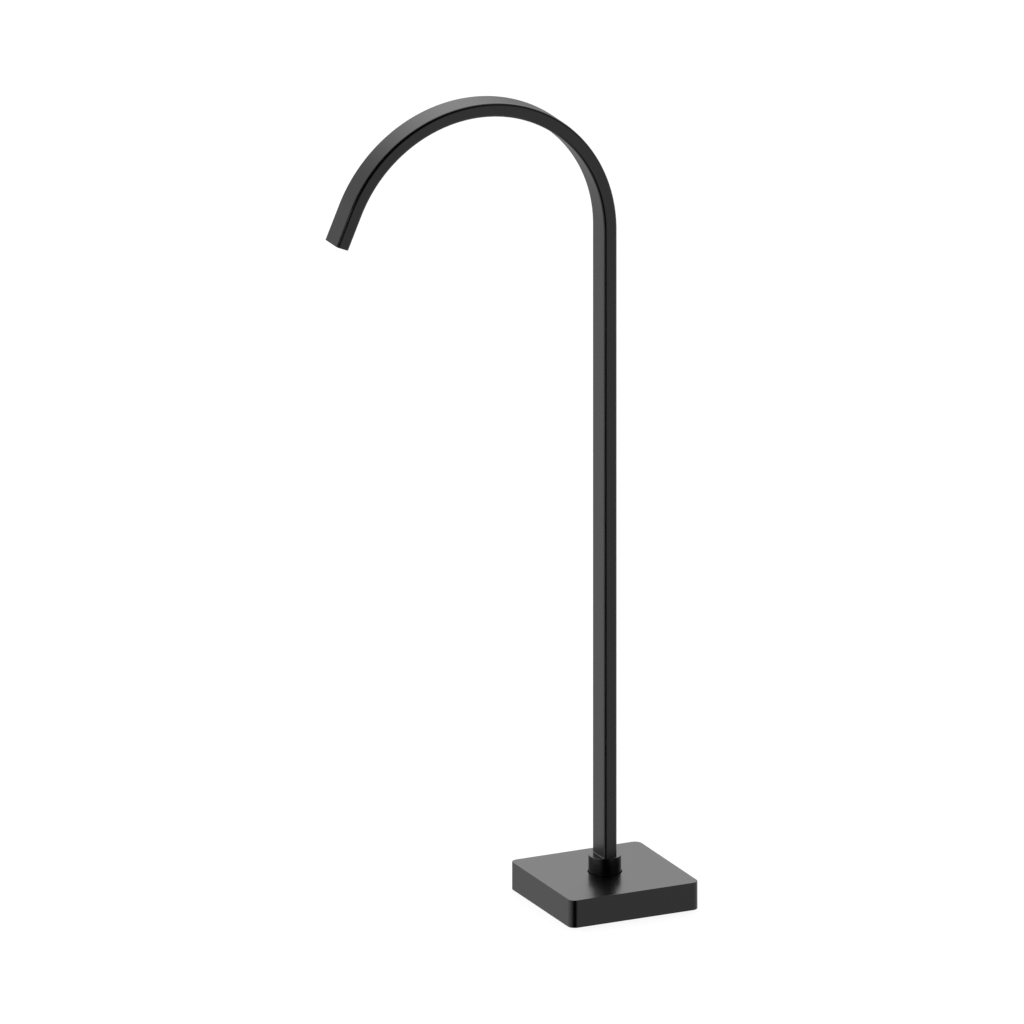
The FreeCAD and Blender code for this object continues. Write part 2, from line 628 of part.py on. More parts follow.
def plate_holes(body, holes, count=4):
    """Each round hole of (x, y, radius) repeated round the plate."""
    sketch = new_sketch(body)
    for x, y, radius in holes:
        circle(sketch, radius, x, y)
    return ring_of(body, [cut(body, sketch)], count)


floor_flange = new_body("floor_flange")
flange_sketch = new_sketch(floor_flange, height="gasket_thickness")
rounded_rectangle(flange_sketch, FLANGE_SIDE, FLANGE_SIDE, "flange_corner")
pad(floor_flange, flange_sketch, "flange_thickness")
bore_sketch = new_sketch(floor_flange)
circle(bore_sketch, f"{SPIGOT_R} + fit")
cut(floor_flange, bore_sketch)
plate_holes(
    floor_flange,
    (
        (HOLE_REACH, HOLE_REACH, "floor_hole / 2"),
        (HOLE_REACH, "0", "level_diameter / 2 + fit"),
        (SCREW_AT, SCREW_AT, "screw_diameter / 2 + fit"),
    ),
)

base_gasket = new_body("base_gasket")
gasket_sketch = new_sketch(base_gasket)
rounded_rectangle(gasket_sketch, FLANGE_SIDE, FLANGE_SIDE, "flange_corner")
pad(base_gasket, gasket_sketch, "gasket_thickness")
gasket_bore = new_sketch(base_gasket)
circle(gasket_bore, f"{SPIGOT_R} + gasket_gap")
cut(base_gasket, gasket_bore)
plate_holes(
    base_gasket,
    (
        (HOLE_REACH, HOLE_REACH, "floor_hole / 2"),
        (HOLE_REACH, "0", "level_diameter / 2 + gasket_gap"),
    ),
)

# Cap screws hold the post's foot down on the flange.
post_screws = new_body("post_screws")
shank_sketch = new_sketch(post_screws, height="gasket_thickness + edge_break")
circle(shank_sketch, "screw_diameter / 2", SCREW_AT, SCREW_AT)
shank = pad(post_screws, shank_sketch, "flange_thickness + boss_thickness - edge_break")
head_sketch = new_sketch(post_screws, height=BOSS_TOP)
circle(head_sketch, "screw_head / 2", SCREW_AT, SCREW_AT)
head = pad(post_screws, head_sketch, "screw_head_height")
key_sketch = new_sketch(post_screws, height=f"{BOSS_TOP} + screw_head_height")
hexagon(key_sketch, "screw_head / 4", SCREW_AT, SCREW_AT)
key = cut(post_screws, key_sketch, "screw_head_height / 2", upwards=False)
ring_of(post_screws, [shank, head, key], SCREW_COUNT)

# Levelling screws stand on the floor through the gasket.
levelling_screws = new_body("levelling_screws")
foot_sketch = new_sketch(levelling_screws)
circle(foot_sketch, "level_diameter / 2", HOLE_REACH)
foot = pad(levelling_screws, foot_sketch, f"{FLANGE_TOP} + level_shown")
level_key = new_sketch(levelling_screws, height=f"{FLANGE_TOP} + level_shown")
hexagon(level_key, "level_diameter / 3.5", HOLE_REACH)
level_socket = cut(levelling_screws, level_key, "level_diameter / 2", upwards=False)
ring_of(levelling_screws, [foot, level_socket], 4)


# ---- cover_plate: folded and welded square box, open below, that drops over the flange

cover_plate = new_body("cover_plate")
cover_sketch = new_sketch(cover_plate)
rounded_rectangle(cover_sketch, "cover_side", "cover_side", "cover_corner")
block = pad(cover_plate, cover_sketch, "cover_height")
rim = [
    f"Edge{number}"
    for number, edge in enumerate(block.Shape.Edges, start=1)
    if all(abs(vertex.Z - value("cover_height")) < 0.001 for vertex in edge.Vertexes)
]
bevel = cover_plate.newObject("PartDesign::Chamfer", "Bevel")
bevel.Base = (block, rim)
bind(bevel, Size="cover_edge")
document.recompute()
inside_sketch = new_sketch(cover_plate)
rounded_rectangle(inside_sketch, COVER_INSIDE, COVER_INSIDE, "cover_corner - cover_wall")
cut(cover_plate, inside_sketch, "cover_height - cover_wall")
opening_sketch = new_sketch(cover_plate)
circle(opening_sketch, COVER_HOLE_R)
cut(cover_plate, opening_sketch)

COVER_UNDERSIDE = "(cover_height - cover_wall)"
bored_ring(
    "centring_ring",
    f"{COLLAR_R} + ring_gap",
    f"{COLLAR_R} + ring_gap + ring_width",
    f"{COVER_UNDERSIDE} - ring_height",
    COVER_UNDERSIDE,
)

rim_seal = new_body("rim_seal")
rim_sketch = new_sketch(rim_seal)
rounded_rectangle(rim_sketch, COVER_INSIDE, COVER_INSIDE, "cover_corner - cover_wall")
SEAL_INSIDE = f"({COVER_INSIDE} - 2 * rim_seal_width)"
rounded_rectangle(rim_sketch, SEAL_INSIDE, SEAL_INSIDE, "(cover_corner - cover_wall) / 2")
pad(rim_seal, rim_sketch, "rim_seal_height")


# ---- check every object, then write one file for each piece

document.recompute()
for item in document.Objects:
    if "Invalid" in item.State or "Error" in item.State:
        raise RuntimeError(f"{item.Label} failed: {item.State}")
pieces = [item for item in document.Objects if item.TypeId in ("PartDesign::Body", "Part::Torus")]
for piece in pieces:
    if piece.Shape.isNull() or not piece.Shape.isValid():
        raise RuntimeError(f"{piece.Label} has no sound shape")
os.makedirs("parts", exist_ok=True)
for piece in pieces:
    piece.Shape.exportStep(f"parts/{piece.Label}.step")
    print(f"{piece.Label}: {len(piece.Shape.Solids)} solids, {piece.Shape.Volume:.1f} mm3")
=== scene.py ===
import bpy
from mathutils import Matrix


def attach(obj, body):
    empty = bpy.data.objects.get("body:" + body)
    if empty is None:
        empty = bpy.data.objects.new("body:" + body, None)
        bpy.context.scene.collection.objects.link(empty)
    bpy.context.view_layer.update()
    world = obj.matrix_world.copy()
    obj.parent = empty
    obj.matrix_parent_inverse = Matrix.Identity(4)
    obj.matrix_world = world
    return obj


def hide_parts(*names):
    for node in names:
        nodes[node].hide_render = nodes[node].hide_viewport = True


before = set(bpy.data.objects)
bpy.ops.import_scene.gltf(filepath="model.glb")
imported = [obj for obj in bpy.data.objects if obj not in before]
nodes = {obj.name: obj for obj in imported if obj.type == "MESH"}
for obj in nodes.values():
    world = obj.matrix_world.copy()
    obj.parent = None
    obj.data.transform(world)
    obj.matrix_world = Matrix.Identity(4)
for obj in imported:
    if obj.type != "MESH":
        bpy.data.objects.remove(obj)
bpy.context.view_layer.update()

import math

import bpy
import numpy as np
from mathutils import Vector

# ---------------------------------------------------------------------------------------------
# Floor flange and the rubber sheet under it. The flange is a square of stainless plate, surface
# ground with the grain along Y, drilled for the floor bolts and the levelling screws. The sheet is
# cut from black rubber with a faint cloth mark, and the flange's weight holds it on the floor.
# ---------------------------------------------------------------------------------------------


class Wire:
    """A socket in a finish's node tree. + - * between wires and numbers add Math nodes."""

    def __init__(self, tree, socket=None):
        self.tree = tree
        self.socket = socket

    def node(self, kind, settings, sockets, out=0):
        """Adds a node of that kind, sets it up, feeds its sockets, and returns one of its outputs."""
        made = self.tree.nodes.new("ShaderNode" + kind)
        for name, value in settings.items():
            setattr(made, name, value)
        for key, value in sockets.items():
            if isinstance(value, Wire):
                self.tree.links.new(value.socket, made.inputs[key])
            else:
                made.inputs[key].default_value = value
        return Wire(self.tree, made.outputs[out] if len(made.outputs) else None)

    def worked_out(self, operation, first, second):
        """A Math node on two wires or numbers."""
        return self.node("Math", {"operation": operation}, {0: first, 1: second})

    def __add__(self, other):
        return self.worked_out("ADD", self, other)

    __radd__ = __add__

    def __sub__(self, other):
        return self.worked_out("SUBTRACT", self, other)

    def __rsub__(self, other):
        return self.worked_out("SUBTRACT", other, self)

    def __mul__(self, other):
        return self.worked_out("MULTIPLY", self, other)

    __rmul__ = __mul__

    def stretched(self, scale):
        """The piece's own coordinates, drawn out or packed tighter along each axis."""
        place = self.node("TexCoord", {}, {}, out="Object")
        return self.node("Mapping", {"vector_type": "POINT"}, {"Vector": place, "Scale": scale})

    def grain(self, lumps, detail=2.0, roughness=0.5, stretch=(1.0, 1.0, 1.0)):
        """Soft noise from 0 to 1 with that many lumps to the metre."""
        sockets = {"Vector": self.stretched(stretch), "Scale": lumps, "Detail": detail}
        return self.node("TexNoise", {}, {**sockets, "Roughness": roughness})

    def blend(self, share, first, second):
        """The first colour, going over to the second as the share goes from 0 to 1."""
        settings = {"data_type": "RGBA"}
        return self.node("Mix", settings, {0: share, 6: (*first, 1.0), 7: (*second, 1.0)}, out=2)

    def relief(self, height, depth):
        """A normal that is tilted as if the surface rose by up to that depth, in metres."""
        return self.node("Bump", {}, {"Strength": 1.0, "Distance": depth, "Height": height})


def new_finish(name):
    """An empty material and the wire that its nodes start from."""
    material = bpy.data.materials.new(name)
    material.use_nodes = True
    material.node_tree.nodes.clear()
    return material, Wire(material.node_tree)


def laid_on(start, **sockets):
    """Ends a finish: the principled shader with those sockets, joined to the output."""
    named = {key.replace("_", " "): value for key, value in sockets.items()}
    shader = start.node("BsdfPrincipled", {}, named)
    start.node("OutputMaterial", {}, {"Surface": shader})


def dress(material, *names):
    """Gives CAD nodes their finish."""
    for name in names:
        nodes[name].material_slots[0].material = material


ground_steel, steel = new_finish("ground_steel")
scratches = steel.grain(lumps=900.0, detail=4.0, stretch=(1.0, 0.02, 1.0))
stain = steel.grain(lumps=22.0, detail=3.0)
laid_on(
    steel,
    Base_Color=steel.blend(stain, (0.47, 0.46, 0.44), (0.58, 0.57, 0.55)),
    Metallic=1.0,
    Roughness=0.26 + 0.16 * scratches,
    Normal=steel.relief(scratches, depth=0.00002),
)
dress(ground_steel, "floor_flange")

sheet_rubber, sheet = new_finish("sheet_rubber")
cloth_mark = sheet.grain(lumps=1400.0, detail=2.0)
bloom = sheet.grain(lumps=40.0, detail=4.0)
laid_on(
    sheet,
    Base_Color=sheet.blend(bloom, (0.018, 0.018, 0.019), (0.034, 0.034, 0.035)),
    Roughness=0.62 + 0.16 * bloom,
    Normal=sheet.relief(cloth_mark, depth=0.00006),
)
dress(sheet_rubber, "base_gasket")

# ---------------------------------------------------------------------------------------------
# Swivel post: turned from brass bar, with fine lathe rings on every face that the tool passed
# over. It carries the water bore and the inlet thread, and four screws hold it to the flange.
# ---------------------------------------------------------------------------------------------

turned_brass, brass = new_finish("turned_brass")
tool_rings = brass.grain(lumps=2600.0, detail=2.0, stretch=(0.02, 0.02, 1.0))
tarnish = brass.grain(lumps=60.0, detail=4.0, roughness=0.6)
laid_on(
    brass,
    Base_Color=brass.blend(tarnish, (0.60, 0.42, 0.18), (0.76, 0.57, 0.29)),
    Metallic=1.0,
    Roughness=0.2 + 0.14 * tarnish,
    Normal=brass.relief(tool_rings, depth=0.000012),
)
dress(turned_brass, "swivel_post")

# ---------------------------------------------------------------------------------------------
# Strainer and outlet screen: thin stainless discs with punched holes, rolled smooth and lightly
# dulled by the etching that removes the burrs. They lie loose on their ledges.
# ---------------------------------------------------------------------------------------------

etched_sheet, etched = new_finish("etched_sheet")
etching = etched.grain(lumps=5200.0, detail=2.0)
laid_on(
    etched,
    Base_Color=etched.blend(etching, (0.44, 0.44, 0.43), (0.55, 0.55, 0.54)),
    Metallic=1.0,
    Roughness=0.3 + 0.12 * etching,
    Normal=etched.relief(etching, depth=0.000006),
)
dress(etched_sheet, "inlet_strainer", "outlet_mesh")

# ---------------------------------------------------------------------------------------------
# Fixings: cap screws, levelling screws, grub screws and the stop pin, cold formed from stainless
# wire and tumbled, so that their faces are bright with a fine pebbled dullness in the sockets.
# ---------------------------------------------------------------------------------------------

tumbled_steel, tumbled = new_finish("tumbled_steel")
pebbles = tumbled.grain(lumps=3800.0, detail=3.0)
handling = tumbled.grain(lumps=260.0, detail=3.0)
laid_on(
    tumbled,
    Base_Color=tumbled.blend(handling, (0.52, 0.51, 0.50), (0.66, 0.65, 0.64)),
    Metallic=1.0,
    Roughness=0.2 + 0.18 * handling,
    Normal=tumbled.relief(pebbles, depth=0.00001),
)
dress(tumbled_steel, "post_screws", "levelling_screws", "retaining_screws", "outlet_screw", "stop_pin")

# ---------------------------------------------------------------------------------------------
# Thrust washer and glide rings: turned from white acetal, which has a waxy gloss. They sit in
# their grooves and let the brass and the collar slide on each other.
# ---------------------------------------------------------------------------------------------

white_acetal, acetal = new_finish("white_acetal")
wax = acetal.grain(lumps=700.0, detail=3.0)
laid_on(
    acetal,
    Base_Color=acetal.blend(wax, (0.70, 0.70, 0.67), (0.76, 0.76, 0.74)),
    Roughness=0.34 + 0.1 * wax,
    Normal=acetal.relief(wax, depth=0.00001),
)
dress(white_acetal, "thrust_washer", "lower_glide_ring", "upper_glide_ring")

# ---------------------------------------------------------------------------------------------
# Rubber rings: moulded seals, greased, so they are black and a little shiny. The centring ring and
# the rim seal under the cover are dry extruded rubber, and stick by their own adhesive backing.
# ---------------------------------------------------------------------------------------------

greased_rubber, greased = new_finish("greased_rubber")
smear = greased.grain(lumps=320.0, detail=3.0)
laid_on(
    greased,
    Base_Color=greased.blend(smear, (0.012, 0.012, 0.013), (0.022, 0.022, 0.023)),
    Roughness=0.22 + 0.26 * smear,
    Normal=greased.relief(smear, depth=0.00002),
)
dress(greased_rubber, "lower_seal_ring", "upper_seal_ring", "outlet_seal")

dry_rubber, dry = new_finish("dry_rubber")
talc = dry.grain(lumps=900.0, detail=5.0, roughness=0.65)
laid_on(
    dry,
    Base_Color=dry.blend(talc, (0.014, 0.014, 0.014), (0.04, 0.04, 0.041)),
    Roughness=0.6 + 0.24 * talc,
    Normal=dry.relief(talc, depth=0.00003),
)
dress(dry_rubber, "centring_ring", "rim_seal")

# ---------------------------------------------------------------------------------------------
# Spout tube: one length of flat rectangular steel tube, drawn with small round corners, bent over
# a former to the gooseneck, cut square and deburred. Its outside has the black powder coat, baked
# to a smooth satin with a very fine skin. A screw hole near the mouth holds the outlet insert.
# ---------------------------------------------------------------------------------------------

HALF_WIDTH, HALF_DEPTH = 0.015, 0.0075
TUBE_CORNER, TUBE_WALL = 0.003, 0.0015
TUBE_FOOT, BEND_START = 0.0456, 0.734
BEND_RADIUS, BEND_TURN = 0.1523, math.radians(156.5)
RISER_RUN, BEND_RUN, TAIL_RUN = BEND_START - TUBE_FOOT, BEND_RADIUS * BEND_TURN, 0.0394
WHOLE_RUN = RISER_RUN + BEND_RUN + TAIL_RUN
MOUTH_ROUND = 0.0003
SCREW_HOLE, SCREW_BACK = 0.00155, 0.007
# The grid round a screw hole: the size of a cell, and how many cells the hole and the patch reach.
CELL, INNER_CELLS, OUTER_CELLS = 0.0004, 3, 6
# Flat sides end in a strip this narrow, which keeps the shading of the rounding off them.
TUBE_STRIP = 0.0002
# Grid lines along the wide and the deep side, as distances from its middle, and steps round a corner.
WIDE_LINES, DEEP_LINES, CORNER_STEPS = (0.0052, 0.0085), (0.0015,), 11
# Rings on the riser, which stop short of the bend, round the bend, on the tail, as distances from the
# mouth, and round the lip.
RISER_RINGS, RISER_STOP, BEND_RINGS = 12, 0.02, 158
TAIL_RINGS, LIP_RINGS = (0.03, 0.02, 0.0115), 5
SHARP_TURN = math.radians(40.0)

black_coat, coat = new_finish("black_powder_coat")
skin = coat.grain(lumps=1500.0, detail=2.0)
drift = coat.grain(lumps=9.0, detail=2.0)
laid_on(
    coat,
    Base_Color=coat.blend(drift, (0.0016, 0.0016, 0.0017), (0.0024, 0.0024, 0.0025)),
    Roughness=0.24 + 0.02 * drift,
    Normal=coat.relief(skin, depth=0.000003),
    IOR=1.44,
)


def skin_piece(name, points, material, body, stands_for, holes=()):
    """A closed skin over a grid of points of shape (rings, places round, 3). Neighbouring points are
    joined by quads, the last ring to the first and the last place to the first. Each hole is (outer
    ring, inner ring, place): the cells near both are left out, with the points that nothing uses
    then, and a wall of quads joins the two."""
    rings, round_it = points.shape[:2]
    index = np.arange(rings * round_it).reshape(rings, round_it)
    right, up = np.roll(index, -1, axis=1), np.roll(index, -1, axis=0)
    quads = np.stack([index, right, np.roll(right, -1, axis=0), up], axis=-1)
    kept = np.ones((rings, round_it), bool)
    walls = []
    step = np.arange(-INNER_CELLS, INNER_CELLS)
    far = np.full(2 * INNER_CELLS, INNER_CELLS)
    across = np.concatenate([step, far, -step, -far])
    along = np.concatenate([-far, step, far, -step])
    for outer, inner, place in holes:
        for ring in (outer, inner):
            kept[np.ix_(ring + step, (place + step) % round_it)] = False
        rim_out = index[outer + along, (place + across) % round_it]
        rim_in = index[inner - along, (place + across) % round_it]
        next_out, next_in = np.roll(rim_out, -1), np.roll(rim_in, -1)
        walls.append(np.stack([rim_out, next_out, next_in, rim_in], axis=-1))
    faces = np.concatenate([quads[kept].reshape(-1, 4), *walls])
    used, corners = np.unique(faces, return_inverse=True)
    mesh = bpy.data.meshes.new(name)
    mesh.from_pydata(points.reshape(-1, 3)[used], [], corners.reshape(-1, 4).tolist())
    mesh.validate()
    mesh.shade_smooth()
    mesh.set_sharp_from_angle(angle=SHARP_TURN)
    mesh.materials.append(material)
    piece = bpy.data.objects.new(name, mesh)
    bpy.context.scene.collection.objects.link(piece)
    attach(piece, body)
    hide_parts(*stands_for)


def quarter_turn(steps):
    """Evenly spaced angles from 0 to a quarter turn."""
    return np.radians(np.linspace(0.0, 90.0, steps))


def outline(half_x, half_y, corner, flat_x, flat_y, turns):
    """The centres and the outward normals round a rounded rectangle, anticlockwise. A point of the
    outline is its centre plus the corner radius along its normal: on a corner the centre stands
    still while the normal turns, on a flat side the normal is fixed while the centre moves."""
    centre_x, centre_y = half_x - corner, half_y - corner
    centres, normals = [], []
    for quarter in range(4):
        angle = turns + quarter * math.pi / 2
        sign_x, sign_y = ((1, 1), (-1, 1), (-1, -1), (1, -1))[quarter]
        here = np.array([sign_x * centre_x, sign_y * centre_y])
        along = (flat_x, flat_y)[quarter % 2]
        way = np.array(((-1, 0), (0, -1), (1, 0), (0, 1))[quarter])
        flat = here * np.abs(way[::-1]) + np.outer(along, way)
        centres += [np.tile(here, (len(turns), 1)), flat]
        normals.append(np.stack([np.cos(angle), np.sin(angle)], axis=-1))
        normals.append(np.tile(normals[-1][-1], (len(along), 1)))
    return np.concatenate(centres), np.concatenate(normals)


def opened(across, along, reach_across, reach_along, radius):
    """Draws the square rings of a grid round a hole onto circles. A point whose share of the way to
    the patch's edge, the larger of across and along, is INNER_CELLS / OUTER_CELLS goes onto the
    hole's rim in its own direction, one at the edge stays, and those between are mixed evenly."""
    share = np.maximum(np.abs(across) / reach_across, np.abs(along) / reach_along)
    start = INNER_CELLS / OUTER_CELLS
    mix = np.clip((share - start) / (1 - start), 0.0, 1.0)
    size = np.maximum(np.hypot(across, along), 1e-9)
    inside = share < 1.0
    new_across = np.where(inside, mix * across + (1 - mix) * radius * across / size, across)
    new_along = np.where(inside, mix * along + (1 - mix) * radius * along / size, along)
    return new_across, new_along


def gooseneck(run, off_x, off_n):
    """Points of the tube: its centre line at that run from the foot, plus off_x across the tube and
    off_n towards the outside of the bend. The centre line climbs, turns about an axis along X with
    the bend's radius, and goes straight on; run below 0 or past the bend keeps the end direction."""
    turn = np.clip((run - RISER_RUN) / BEND_RADIUS, 0.0, BEND_TURN)
    before = np.minimum(run, RISER_RUN)
    after = np.maximum(run - RISER_RUN - BEND_RUN, 0.0)
    y = BEND_RADIUS * (np.cos(turn) - 1) - after * np.sin(turn) + off_n * np.cos(turn)
    z = TUBE_FOOT + before + BEND_RADIUS * np.sin(turn) + after * np.cos(turn) + off_n * np.sin(turn)
    return np.stack([off_x + 0 * turn, y, z], axis=-1)


patch = CELL * np.arange(-OUTER_CELLS, OUTER_CELLS + 1)
half_wide = np.array([*WIDE_LINES, HALF_WIDTH - TUBE_CORNER - TUBE_STRIP])
half_deep = np.array([*DEEP_LINES, HALF_DEPTH - TUBE_CORNER - TUBE_STRIP])
wide_places = np.concatenate([-half_wide[::-1], patch, half_wide])
deep_places = np.concatenate([-half_deep[::-1], half_deep])
corner_turns = quarter_turn(CORNER_STEPS)
centres, normals = outline(HALF_WIDTH, HALF_DEPTH, TUBE_CORNER, wide_places, deep_places, corner_turns)

# The rings follow the tube from its foot to the lip, and the inside has the same rings in reverse.
riser_rings = np.linspace(0.0, RISER_RUN - RISER_STOP, RISER_RINGS)
bend_rings = RISER_RUN + BEND_RUN * np.linspace(0.0, 1.0, BEND_RINGS)
before_bend, after_bend = bend_rings[:1] - CELL, bend_rings[-1:] + CELL
tail_rings = WHOLE_RUN - np.array(TAIL_RINGS)
screw_run = WHOLE_RUN - SCREW_BACK
long_parts = [riser_rings, before_bend, bend_rings, after_bend, tail_rings, screw_run + patch]
long_run = np.concatenate(long_parts)
lip = quarter_turn(LIP_RINGS)
lip_run = WHOLE_RUN - MOUTH_ROUND + MOUTH_ROUND * np.sin(lip)
half_run = np.concatenate([long_run, [WHOLE_RUN - 2 * MOUTH_ROUND], lip_run])
half_inset = np.concatenate([np.zeros(len(long_run) + 1), MOUTH_ROUND * (1 - np.cos(lip))])
run = np.concatenate([half_run, half_run[::-1]])
inset = np.concatenate([half_inset, TUBE_WALL - half_inset[::-1]])
off = centres[None] + (TUBE_CORNER - inset)[:, None, None] * normals[None]
run_grid = np.repeat(run[:, None], off.shape[1], axis=1)
screw_side = normals[:, 1] < -0.999
screw_place = int(np.argmin(np.where(screw_side, np.abs(centres[:, 0]), np.inf)))
patch_reach = OUTER_CELLS * CELL
hole_x, hole_run = opened(off[..., 0], run_grid - screw_run, patch_reach, patch_reach, SCREW_HOLE)
off_x = np.where(screw_side, hole_x, off[..., 0])
run_grid = np.where(screw_side, screw_run + hole_run, run_grid)
outer_ring = len(long_run) - 1 - OUTER_CELLS
skin_piece(
    "coated_spout_tube",
    gooseneck(run_grid, off_x, off[..., 1]),
    black_coat,
    "spout",
    ["spout_tube"],
    holes=[(outer_ring, len(run) - 1 - outer_ring, screw_place)],
)

# ---------------------------------------------------------------------------------------------
# Swivel collar: turned from steel bar, bored from below for the post, with a seat in its top that
# the tube's foot stands in. The joint round the foot is brazed and dressed to a small hollow
# fillet before coating. Three tapped holes in the skirt take the grub screws.
# ---------------------------------------------------------------------------------------------

COLLAR_R, COLLAR_BORE, THROAT_R = 0.017016, 0.012516, 0.006
COLLAR_FOOT, COLLAR_TOP, BORE_TOP = 0.015, 0.0486, 0.0426
EDGE, BRAZE_OUT, BRAZE_UP = 0.0004, 0.0010, 0.0008
GRUB_HEIGHT, GRUB_ROWS, GRUBS = 0.019, 0.00045, 3
PLACES, EASING_STEPS = 240, 6
# Faces end in a strip this narrow beside an eased edge. The fillet stops this far inside the top's
# edge, and the tube's seat is this much smaller than the tube.
STRIP, FILLET_MARGIN, SEAT_NIP = 0.0003, 0.0001, 0.0001
# Rings on the wall above the grub screws, and on the top, as shares of the way to the fillet.
WALL_HEIGHTS, TOP_SHARES = (0.0225, 0.03, 0.038), (0.03, 0.3, 0.65, 0.97)


def reach(angle, half_x, half_y, corner):
    """How far the axis is from a rounded rectangle in each direction: to the nearer of its two
    sides, or to the corner's arc where the ray passes the ends of both sides."""
    u, v = np.abs(np.cos(angle)), np.abs(np.sin(angle))
    centre_x, centre_y = half_x - corner, half_y - corner
    middle = u * centre_x + v * centre_y
    arc = middle + np.sqrt(np.maximum(middle**2 - centre_x**2 - centre_y**2 + corner**2, 0.0))
    side = np.minimum(half_x / np.maximum(u, 1e-9), half_y / np.maximum(v, 1e-9))
    return np.where((arc * u > centre_x) & (arc * v > centre_y), arc, side)


def round_foot(angle, out):
    """The tube's outline, moved outwards, as a distance from the axis."""
    return reach(angle, HALF_WIDTH + out, HALF_DEPTH + out, TUBE_CORNER + out)


angle = np.linspace(0.0, 2 * math.pi, PLACES, endpoint=False)
grub_heights = GRUB_HEIGHT + GRUB_ROWS * np.arange(-OUTER_CELLS, OUTER_CELLS + 1)
quarter = quarter_turn(EASING_STEPS)
height, radius = [], []


def collar_ring(z, distance):
    """Adds a ring to the collar: its height, and its distance from the axis, as one number or as one
    for each place round it."""
    height.append(np.full(PLACES, z))
    radius.append(np.broadcast_to(distance, PLACES).astype(float))


for a in quarter:
    collar_ring(COLLAR_FOOT + EDGE * (1 - math.cos(a)), COLLAR_R - EDGE * (1 - math.sin(a)))
outer_row = len(height) + OUTER_CELLS
for z in (*grub_heights, *WALL_HEIGHTS, COLLAR_TOP - EDGE - STRIP):
    collar_ring(z, COLLAR_R)
for a in quarter:
    collar_ring(COLLAR_TOP - EDGE * (1 - math.sin(a)), COLLAR_R - EDGE * (1 - math.cos(a)))
flat_top = COLLAR_R - EDGE
fillet_edge = np.minimum(round_foot(angle, BRAZE_OUT), flat_top - FILLET_MARGIN)
for share in TOP_SHARES:
    collar_ring(COLLAR_TOP, flat_top + share * (fillet_edge - flat_top))
for a in quarter:
    hollow = round_foot(angle, BRAZE_OUT * (1 - math.sin(a)))
    collar_ring(COLLAR_TOP + BRAZE_UP * (1 - math.cos(a)), np.minimum(hollow, fillet_edge))
for z in (COLLAR_TOP, TUBE_FOOT):
    collar_ring(z, round_foot(angle, -SEAT_NIP))
for z in (TUBE_FOOT, BORE_TOP):
    collar_ring(z, THROAT_R)
inner_row = len(height) + 1 + OUTER_CELLS
for z in (BORE_TOP, *grub_heights[::-1], COLLAR_FOOT):
    collar_ring(z, COLLAR_BORE)
height, radius = np.array(height), np.array(radius)

turn_grid = np.broadcast_to(angle, height.shape).copy()
patch_across = radius * OUTER_CELLS * 2 * math.pi / PLACES
patch_up = OUTER_CELLS * GRUB_ROWS
for grub in range(GRUBS):
    middle = grub * 2 * math.pi / GRUBS
    from_grub = radius * ((turn_grid - middle + math.pi) % (2 * math.pi) - math.pi)
    across, rise = opened(from_grub, height - GRUB_HEIGHT, patch_across, patch_up, SCREW_HOLE)
    turn_grid = middle + across / radius
    height = GRUB_HEIGHT + rise
collar_points = np.stack([radius * np.cos(turn_grid), radius * np.sin(turn_grid), height], axis=-1)
skin_piece(
    "coated_swivel_collar",
    collar_points,
    black_coat,
    "spout",
    ["swivel_collar"],
    holes=[(outer_row, inner_row, grub * PLACES // GRUBS) for grub in range(GRUBS)],
)

# ---------------------------------------------------------------------------------------------
# Outlet insert: a moulded frame, a flow straightener of thin vanes behind the screen, and a rubber
# seal, all pushed into the tube's mouth. The mouldings are black acetal with a fine matt grain.
# ---------------------------------------------------------------------------------------------

moulded_black, moulded = new_finish("moulded_black")
matt_grain = moulded.grain(lumps=4200.0, detail=2.0)
flow_lines = moulded.grain(lumps=150.0, detail=3.0)
laid_on(
    moulded,
    Base_Color=moulded.blend(flow_lines, (0.010, 0.010, 0.011), (0.017, 0.017, 0.018)),
    Roughness=0.42 + 0.12 * flow_lines,
    Normal=moulded.relief(matt_grain, depth=0.00001),
)
dress(moulded_black, "outlet_frame", "flow_straightener")

# ---------------------------------------------------------------------------------------------
# Cover plate: a square tray of pressed steel, upside down over the flange, with a round hole for
# the collar. Its upright edges are rounded, every sharp edge is eased, and the coat is the tube's.
# ---------------------------------------------------------------------------------------------

COVER_HALF, COVER_CORNER, COVER_HEIGHT = 0.074, 0.008, 0.030
COVER_WALL, COVER_HOLE = 0.0025, 0.018016
RIM_EASE, HOLE_EASE, INNER_ROUND = 0.0003, 0.0001, 0.0005
HOLE_STRIP = 0.0002
# Grid lines along a side, which stop short of its ends, and steps round an upright edge.
SIDE_LINES, SIDE_STOP, UPRIGHT_STEPS = 15, 0.006, 15
# Rings up the side, and on the top, from this far inside the outline to this far outside the hole.
SIDE_HEIGHTS, TOP_RINGS = (0.010, 0.020), 12
TOP_BORDER, HOLE_BORDER, UNDER_BORDER = 0.004, 0.002, 0.001

side_flat = COVER_HALF - COVER_CORNER
side_middle = np.linspace(-side_flat + SIDE_STOP, side_flat - SIDE_STOP, SIDE_LINES)
side_places = np.concatenate([[-side_flat + STRIP], side_middle, [side_flat - STRIP]])
cover_turns = quarter_turn(UPRIGHT_STEPS)
centres, normals = outline(COVER_HALF, COVER_HALF, COVER_CORNER, side_places, side_places, cover_turns)


def at_inset(inset):
    """The cover's outline, moved inwards."""
    return centres + (COVER_CORNER - inset) * normals


whole = at_inset(0.0)
directions = whole / np.linalg.norm(whole, axis=1)[:, None]
rows = []


def cover_ring(flat, z):
    """Adds a ring to the cover: its points seen from above, and its height."""
    rows.append(np.column_stack([flat, np.full(len(flat), z)]))


